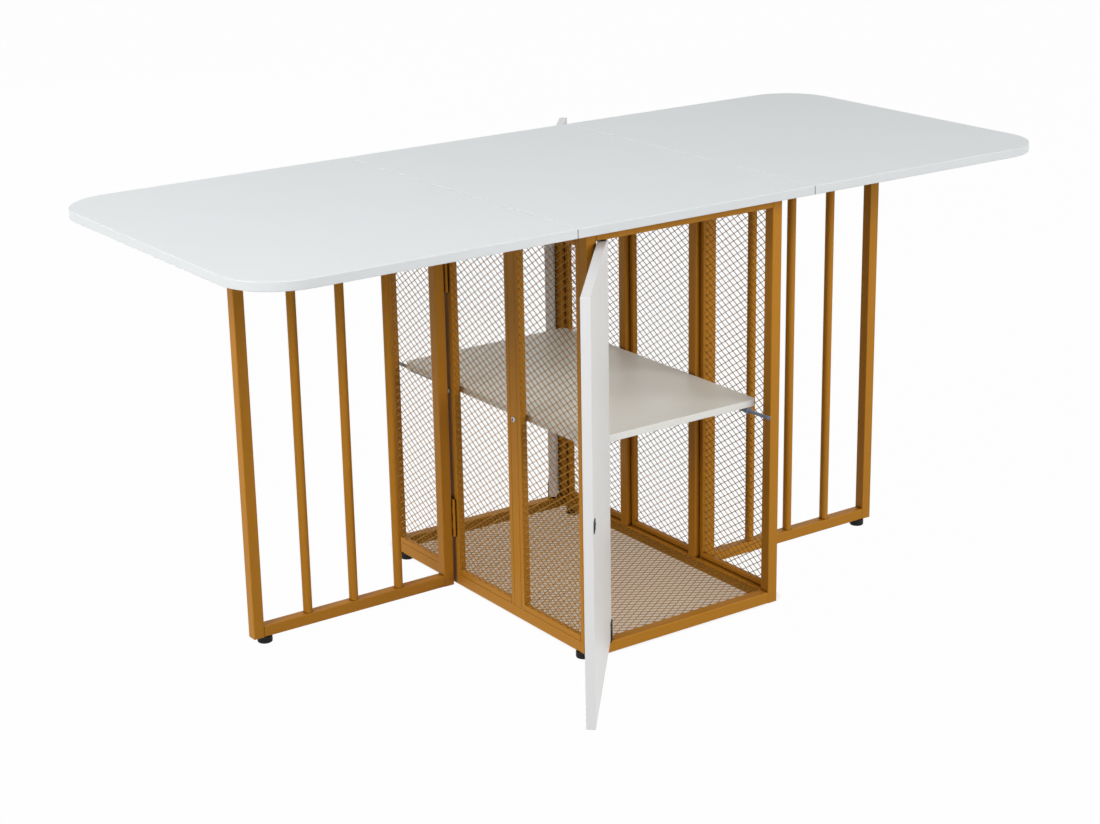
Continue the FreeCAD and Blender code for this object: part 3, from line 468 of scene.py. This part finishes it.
expanded, sheet = new_tree("expanded metal", {
    "Diamonds along": "Int", "Long pitch": "Float", "Strands": "Int", "Short pitch": "Float",
    "Bond": "Float", "Strand width": "Float", "Thickness": "Float", "Tip": "Float",
    "Edge shade": "Float", "Material": "Material"})
index = add(expanded, "GeometryNodeInputIndex")
half_pitch = add(expanded, "ShaderNodeMath", {0: sheet["Long pitch"], 1: 0.5}, operation="MULTIPLY")
half_bond = add(expanded, "ShaderNodeMath", {0: sheet["Bond"], 1: 0.5}, operation="MULTIPLY")
length = add(expanded, "ShaderNodeMath",
             {0: sheet["Diamonds along"], 1: sheet["Long pitch"]}, operation="MULTIPLY")
point_count = add(expanded, "ShaderNodeMath",
                  {0: sheet["Diamonds along"], 1: 4, 2: 2}, operation="MULTIPLY_ADD")

pairs = add(expanded, "ShaderNodeMath", {0: index, 1: 0.5}, operation="MULTIPLY")
bond_number = add(expanded, "ShaderNodeMath", {0: pairs}, operation="FLOOR")
bond_middle = add(expanded, "ShaderNodeMath", {0: bond_number, 1: half_pitch}, operation="MULTIPLY")
odd_point = add(expanded, "ShaderNodeMath", {0: index, 1: 2}, operation="MODULO")
bond_side = add(expanded, "ShaderNodeMath", {0: odd_point, 1: 2, 2: -1}, operation="MULTIPLY_ADD")
along = add(expanded, "ShaderNodeMath",
            {0: bond_side, 1: half_bond, 2: bond_middle}, operation="MULTIPLY_ADD")
within = add(expanded, "ShaderNodeClamp", {"Value": along, "Min": 0.0, "Max": length})

narrowing = add(expanded, "ShaderNodeMath", {0: sheet["Tip"]}, operation="COSINE")
seen_width = add(expanded, "ShaderNodeMath",
                 {0: narrowing, 1: sheet["Strand width"]}, operation="MULTIPLY")
row_height = add(expanded, "ShaderNodeMath",
                 {0: sheet["Short pitch"], 1: 0.5}, operation="MULTIPLY")
climb = add(expanded, "ShaderNodeMath", {0: row_height, 1: seen_width}, operation="SUBTRACT")
odd_bond = add(expanded, "ShaderNodeMath", {0: bond_number, 1: 2}, operation="MODULO")
high_or_low = add(expanded, "ShaderNodeMath", {0: odd_bond, 1: 0.5}, operation="SUBTRACT")
height = add(expanded, "ShaderNodeMath", {0: high_or_low, 1: climb}, operation="MULTIPLY")
wave = add(expanded, "ShaderNodeCombineXYZ", {"X": within, "Y": height})

line = add(expanded, "GeometryNodeMeshLine", {"Count": point_count})
bent = add(expanded, "GeometryNodeSetPosition", {"Geometry": line, "Position": wave})
strand = add(expanded, "GeometryNodeMeshToCurve", {"Mesh": bent})
print("one strand takes", len(expanded.nodes), "nodes")

# %% [markdown]
# The strand is then repeated row after row, and every second one is flipped, so that the bonds of
# neighbours meet. Only now is it given a body: a flat section is swept along all the strands at
# once, tipped by the same angle. The strands' narrow sides are the sheared faces, which don't look
# out of the sheet. They get painted shade: they carry a number, "shade", which the gold paint
# reads to go darker.

# %% Repeat and sweep the strand
FLATNESS = 0.65         # faces that look out of the sheet by less than this are sheared ones

first_row = add(expanded, "ShaderNodeMath",
                {0: sheet["Short pitch"], 1: 0.25}, operation="MULTIPLY")
row_start = add(expanded, "ShaderNodeCombineXYZ", {"Y": first_row})
row_step = add(expanded, "ShaderNodeCombineXYZ", {"Y": row_height})
rows = add(expanded, "GeometryNodeMeshLine",
           {"Count": sheet["Strands"], "Start Location": row_start, "Offset": row_step})
odd_row = add(expanded, "ShaderNodeMath", {0: index, 1: 2}, operation="MODULO")
flip = add(expanded, "ShaderNodeMath", {0: odd_row, 1: -2, 2: 1}, operation="MULTIPLY_ADD")
mirror = add(expanded, "ShaderNodeCombineXYZ", {"X": 1.0, "Y": flip, "Z": 1.0})
laid = add(expanded, "GeometryNodeInstanceOnPoints",
           {"Points": rows, "Instance": strand, "Scale": mirror})
strands = add(expanded, "GeometryNodeRealizeInstances", {"Geometry": laid})

upright = add(expanded, "GeometryNodeSetCurveNormal", {"Curve": strands}, mode="Z_UP")
tipped = add(expanded, "GeometryNodeSetCurveTilt", {"Curve": upright, "Tilt": sheet["Tip"]})
section = add(expanded, "GeometryNodeCurvePrimitiveQuadrilateral",
              {"Width": sheet["Strand width"], "Height": sheet["Thickness"]})
swept = add(expanded, "GeometryNodeCurveToMesh",
            {"Curve": tipped, "Profile Curve": section, "Fill Caps": True})
# Painted shade: the narrow, sheared faces are stored darker, by the amount of the edge shade input.
normal = add(expanded, "ShaderNodeSeparateXYZ", {0: add(expanded, "GeometryNodeInputNormal")})
flatness = add(expanded, "ShaderNodeMath", {0: normal.outputs["Z"]}, operation="ABSOLUTE")
sheared = add(expanded, "ShaderNodeMath", {0: flatness, 1: FLATNESS}, operation="LESS_THAN")
painted_edge_shade = add(expanded, "ShaderNodeMath", {0: sheared, 1: sheet["Edge shade"]}, operation="MULTIPLY")
edged = add(expanded, "GeometryNodeStoreNamedAttribute",
            {"Geometry": swept, "Name": "shade", "Value": painted_edge_shade}, data_type="FLOAT", domain="FACE")
realized = add(expanded, "GeometryNodeRealizeInstances", {"Geometry": edged})
painted = add(expanded, "GeometryNodeSetMaterial",
              {"Geometry": realized, "Material": sheet["Material"]})
add(expanded, "NodeGroupOutput", {"Geometry": painted})
print(expanded.name, "has", len(expanded.nodes), "nodes")

# %% [markdown]
# A tree does its work inside a modifier, but the finished table should hold plain meshes. So a
# helper lends the tree an object, sets the inputs, takes the result as a mesh, moves it to its
# place and throws the modifier away. The pitches are then stretched a little, so that whole
# diamonds fill each bay.


# %% Hang the sheets of expanded metal
def grow(name, tree, sizes, place, points=(), aims=()):
    """Runs a Geometry Nodes tree and keeps its result as a plain mesh, moved to its place."""
    seed_mesh = bpy.data.meshes.new(name + "_seed")
    seed_mesh.from_pydata(points, [], [])
    if aims:
        arrows = seed_mesh.attributes.new("aim", "FLOAT_VECTOR", "POINT")
        arrows.data.foreach_set("vector", sum(aims, ()))
    seed = bpy.data.objects.new(name + "_seed", seed_mesh)
    scene.collection.objects.link(seed)
    modifier = seed.modifiers.new("grow", "NODES")
    modifier.node_group = tree
    for item in tree.interface.items_tree:
        if item.name in sizes:
            modifier[item.identifier] = sizes[item.name]
    bpy.context.view_layer.update()
    evaluated = seed.evaluated_get(bpy.context.evaluated_depsgraph_get())
    mesh = bpy.data.meshes.new_from_object(evaluated)
    bpy.data.objects.remove(seed)
    mesh.transform(place)
    mesh.name = name
    piece = bpy.data.objects.new(name, mesh)
    scene.collection.objects.link(piece)
    return piece


X, Y, Z = range(3)
LONG_PITCH = 20 * MM
SHORT_PITCH = 13 * MM
STRAND = {"Bond": 1.6 * MM, "Strand width": 1.2 * MM, "Thickness": 0.85 * MM,
          "Tip": math.radians(-16), "Edge shade": 0.6, "Material": gold_mesh}


def sheet_of_mesh(node, u, v):
    """Expanded metal in a node's place, with strands along axis u, repeated along axis v."""
    low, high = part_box(node)
    through = ({X, Y, Z} - {u, v}).pop()
    diamonds = round((high[u] - low[u]) / LONG_PITCH)
    strand_count = 2 * round((high[v] - low[v]) / SHORT_PITCH)
    place = Matrix.Identity(4)
    for row in (X, Y, Z):
        place[row][X] = float(row == u)
        place[row][Y] = float(row == v)
        place[row][Z] = float(row == through)
        place[row][3] = low[row] if row != through else (low[row] + high[row]) / 2
    piece = grow(node + "_strands", expanded, {
        "Diamonds along": diamonds, "Long pitch": (high[u] - low[u]) / diamonds,
        "Strands": strand_count, "Short pitch": 2 * (high[v] - low[v]) / strand_count, **STRAND},
        place)
    if place.determinant() < 0:
        piece.data.flip_normals()
    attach(piece, "cabinet")
    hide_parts(node)
    print(node, diamonds, "diamonds long,", strand_count, "strands,",
          len(piece.data.polygons), "faces")


for side in ("left", "right"):
    for bay in ("front", "middle", "rear"):
        sheet_of_mesh(f"{side}_{bay}_mesh", Y, Z)
sheet_of_mesh("base_mesh", X, Y)

# %% [markdown]
# ## Bolts and screws
#
# The shelf hangs on four socket-head bolts, and screws hold the panel, the leaf hinges, the
# latches and the doors' fittings. A head is turned on a lathe from rings of points, and then
# pressed with a hexagonal or a cross-shaped recess, whose outline is a radius that changes with
# the angle. The faces of the recess carry the number "shade" again, a painted shade that stands
# for the little light that reaches them.

# %% Turn the heads
SIDES = 24


def turned(name, rings):
    """Closed mesh turned from rings of a height, a radius or its rule, and a shade; millimetres."""
    form = bmesh.new()
    shade = form.faces.layers.float.new("shade")
    loops = []
    for height, radius, _ in rings:
        loop = []
        for step in range(SIDES):
            angle = 2 * math.pi * step / SIDES
            reach = radius(angle) if callable(radius) else radius
            point = Vector((reach * math.cos(angle), reach * math.sin(angle), height))
            loop.append(form.verts.new(point * MM))
        loops.append(loop)
    for lower, upper, (_, _, dark) in zip(loops, loops[1:], rings[1:]):
        for step in range(SIDES):
            after = (step + 1) % SIDES
            wall = form.faces.new((lower[step], lower[after], upper[after], upper[step]))
            wall[shade] = dark
    form.faces.new(loops[0][::-1])
    form.faces.new(loops[-1])[shade] = rings[-1][2]
    mesh = bpy.data.meshes.new(name)
    form.to_mesh(mesh)
    form.free()
    return mesh


def hexagon(half_flats):
    """Outline of a hexagonal socket of this half width."""
    sixth = math.pi / 3
    return lambda angle: half_flats / math.cos((angle + sixth / 2) % sixth - sixth / 2)


def cross(arm, half_width):
    """Outline of a cross-shaped recess with arms of this length and half width."""
    def outline(angle):
        from_arm = (angle + math.pi / 4) % (math.pi / 2) - math.pi / 4
        return min(arm / math.cos(from_arm), half_width / max(abs(math.sin(from_arm)), 1e-6))
    return outline


BOLT_HEAD, BOLT_RADIUS = 2.5, 5.0
SCREW_HEAD, SCREW_RADIUS = 2.4, 4.0
bolt_form = turned("bolt", (
    (-48.5, 2.6, 0), (-48.0, 3.0, 0), (0, 3.0, 0), (0, BOLT_RADIUS, 0), (1.0, BOLT_RADIUS, 0),
    (1.9, 4.6, 0), (BOLT_HEAD, 3.5, 0), (BOLT_HEAD, hexagon(2.0), 0), (0.4, hexagon(1.95), 1)))
panel_screw_form = turned("panel_screw", (
    (-31, 0.6, 0), (-26, 2.0, 0), (0, 2.0, 0), (0, SCREW_RADIUS, 0), (1.1, 3.8, 0),
    (1.9, 3.2, 0), (SCREW_HEAD, cross(2.3, 0.5), 0), (0.8, cross(1.5, 0.4), 1)))
small_screw_form = turned("small_screw", (
    (0, 2.7, 0), (0.3, 2.6, 0), (0.6, 2.1, 0), (0.7, cross(1.7, 0.4), 0),
    (0.1, cross(1.3, 0.35), 1)))
print("turned", [(form.name, len(form.polygons))
                 for form in (bolt_form, panel_screw_form, small_screw_form)])

# %% [markdown]
# Heads that are alike differ only in their place and in the way that they look. So one tree sets
# a head on each point of a body and turns it along the point's arrow, and a function runs the
# tree and ties the result to its body.

# %% Make the tree that sets a head on each point
fasteners, fixing = new_tree("fasteners", {"Head": "Object", "Material": "Material"})
arrow = add(fasteners, "GeometryNodeInputNamedAttribute", {"Name": "aim"}, data_type="FLOAT_VECTOR")
head_turn = add(fasteners, "FunctionNodeAlignRotationToVector", {"Vector": arrow}, axis="Z")
head = add(fasteners, "GeometryNodeObjectInfo", {"Object": fixing["Head"]}).outputs["Geometry"]
driven = add(fasteners, "GeometryNodeInstanceOnPoints",
             {"Points": fixing["Geometry"], "Instance": head, "Rotation": head_turn})
joined = add(fasteners, "GeometryNodeRealizeInstances", {"Geometry": driven})
plated = add(fasteners, "GeometryNodeSetMaterial",
             {"Geometry": joined, "Material": fixing["Material"]})
add(fasteners, "NodeGroupOutput", {"Geometry": plated})
print(fasteners.name, "has", len(fasteners.nodes), "nodes")


def fasten(name, body, finish, form, spots, replaced=()):
    """Sets heads of one form on a body; a spot is a point in metres and the way its head looks."""
    head_object = bpy.data.objects.new(name + "_head", form)
    scene.collection.objects.link(head_object)
    piece = grow(name, fasteners, {"Head": head_object, "Material": finishes[finish]},
                 Matrix.Identity(4), [tuple(point) for point, _ in spots],
                 [tuple(aim) for _, aim in spots])
    bpy.data.objects.remove(head_object)
    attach(piece, body)
    if replaced:
        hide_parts(*replaced)
    print(name, "has", len(spots), "heads and", len(piece.data.polygons), "faces")


# %% [markdown]
# The shelf's bolts and the panel's screws take the place of plain solids, so their spots are read
# off the solids' boxes: the heads' outer faces lie on the boxes' sides. The bolts look out
# through the posts, and the screws look down, because the panel is screwed on from below.

# %% Set the bolts and the panel's screws
DOWN = (0.0, 0.0, -1.0)
BOTH = (-1, 1)

low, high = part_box("shelf_bolts")
bolt_x, bolt_y = high[X] - BOLT_HEAD * MM, high[Y] - BOLT_RADIUS * MM
bolt_z = (low[Z] + high[Z]) / 2
fasten("shelf_bolt_heads", "cabinet", "zinc_steel", bolt_form,
       [((x * bolt_x, y * bolt_y, bolt_z), (float(x), 0.0, 0.0)) for x in BOTH for y in BOTH],
       ["shelf_bolts"])

low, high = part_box("panel_screws")
screw_x, screw_y = high[X] - SCREW_RADIUS * MM, high[Y] - SCREW_RADIUS * MM
screw_z = low[Z] + SCREW_HEAD * MM
fasten("panel_screw_heads", "cabinet", "zinc_steel", panel_screw_form,
       [((x * screw_x, y * screw_y, screw_z), DOWN) for x in BOTH for y in (-1, 0, 1)],
       ["panel_screws"])

# %% [markdown]
# The plates of the leaf hinges and of the push latches are held by small screws, which have no
# solids of their own. Each leaf's screws ride on the leaf and turn with it.

# %% Set the screws of the hinges and latches
HINGES = (-225, 0, 225)                 # the leaf hinges along the seam, in mm from its middle
HOLES = (-17, 0, 17)                    # the holes of a hinge plate
FIXED_HOLES, LEAF_HOLES = 18, 19.5      # from the seam to the holes on either side of it
HINGE_PLATE, LATCH_PLATE = 1.5, 2       # the plates' thickness
LATCH_HOLES = (-11.2, 11.2)             # the holes of a latch, across from its plunger
LATCH_SCREW_Y = 0.255                   # metres from the middle of the table

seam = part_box("centre_panel")[1][X]
plate_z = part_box("leaf_hinge_plates")[1][Z] - HINGE_PLATE * MM
hole_rows = [(hinge + hole) * MM for hinge in HINGES for hole in HOLES]
fasten("fixed_plate_screws", "cabinet", "zinc_steel", small_screw_form,
       [((x * (seam - FIXED_HOLES * MM), y, plate_z), DOWN) for x in BOTH for y in hole_rows])
for x, side in zip(BOTH, ("left", "right")):
    fasten(f"{side}_plate_screws", f"{side}_leaf", "zinc_steel", small_screw_form,
           [((x * (seam + LEAF_HOLES * MM), y, plate_z), DOWN) for y in hole_rows])

low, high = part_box("front_plunger")
latch_x, latch_z = (low[X] + high[X]) / 2, (low[Z] + high[Z]) / 2
latch_plate_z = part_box("shelf")[0][Z] - LATCH_PLATE * MM
fasten("latch_screws", "cabinet", "zinc_steel", small_screw_form,
       [((end * (latch_x + hole * MM), -end * LATCH_SCREW_Y, latch_plate_z), DOWN)
        for end in (1, -1) for hole in LATCH_HOLES])

# %% [markdown]
# A door's screws hold its strike plate and the leg of its lower bracket. They are laid out as if
# the door were shut, where the sizes are easy to read, and then turned about the door's pivot to
# where it stands open.

# %% Set the screws of the doors
STRIKE_HOLES = (-7.5 * MM, 7.5 * MM)            # from the middle of the strike plate
STRIKE_FACE = 9 * MM                            # the plate's face, from the pivot
LEG_X, LEG_FACE = -2 * MM, 9.5 * MM             # the bracket's leg, from the pivot
LEG_HOLES = (45 * MM, 58 * MM)                  # above the floor

joints = {joint["name"]: joint for joint in frame["record"]["behaviour"]["joints"]}
for end, shut in (("front", 0.0), ("rear", math.pi)):
    pivot = Vector(joints[f"{end}_door_close"]["pos_m"])
    axis_foot = Vector((pivot.x, pivot.y, 0))
    door_turn = Matrix.Rotation(shut - DOOR_OPEN, 3, "Z")
    out = door_turn @ Vector((0, 1, 0))
    strike_x = latch_x + abs(pivot.x)
    spots = [(strike_x + hole, STRIKE_FACE, latch_z) for hole in STRIKE_HOLES]
    spots += [(LEG_X, LEG_FACE, hole) for hole in LEG_HOLES]
    fasten(f"{end}_door_screws", f"{end}_door", "dark_steel", small_screw_form,
           [(axis_foot + door_turn @ Vector(spot), out) for spot in spots])

# %% [markdown]
# ## The push latches' plungers
#
# A push latch holds the closed door: pressed once it lets the door spring open, pressed again it
# keeps it. Its plunger is a moulded rod with a soft tip that is hollow at its end. It is round
# all along, so it is turned on the same lathe as the heads.

# %% Turn the plungers
# The last ring, the hollow of the tip, carries painted shade.
PLUNGER = (
    (-110, 2.6, 0), (-109.6, 3.0, 0), (-8, 3.0, 0), (-8, 3.2, 0), (-7.8, 3.4, 0), (-1.2, 3.4, 0),
    (-0.4, 3.1, 0), (0, 2.5, 0), (0, 1.7, 0), (-1.5, 1.5, 0.7))

for end, way in (("front", -1), ("rear", 1)):
    node = f"{end}_plunger"
    low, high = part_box(node)
    tip = Vector(((low[X] + high[X]) / 2, low[Y] if way < 0 else high[Y], (low[Z] + high[Z]) / 2))
    rod = turned(node + "_rod", PLUNGER)
    rod_turn = Vector((0, way, 0)).to_track_quat("Z", "Y").to_matrix().to_4x4()
    rod.transform(Matrix.Translation(tip) @ rod_turn)
    rod.materials.append(finishes["grey_plastic"])
    plunger = bpy.data.objects.new(node + "_rod", rod)
    scene.collection.objects.link(plunger)
    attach(plunger, node)
    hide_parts(node)
    print(plunger.name, "tip at", [round(value, 4) for value in tip])
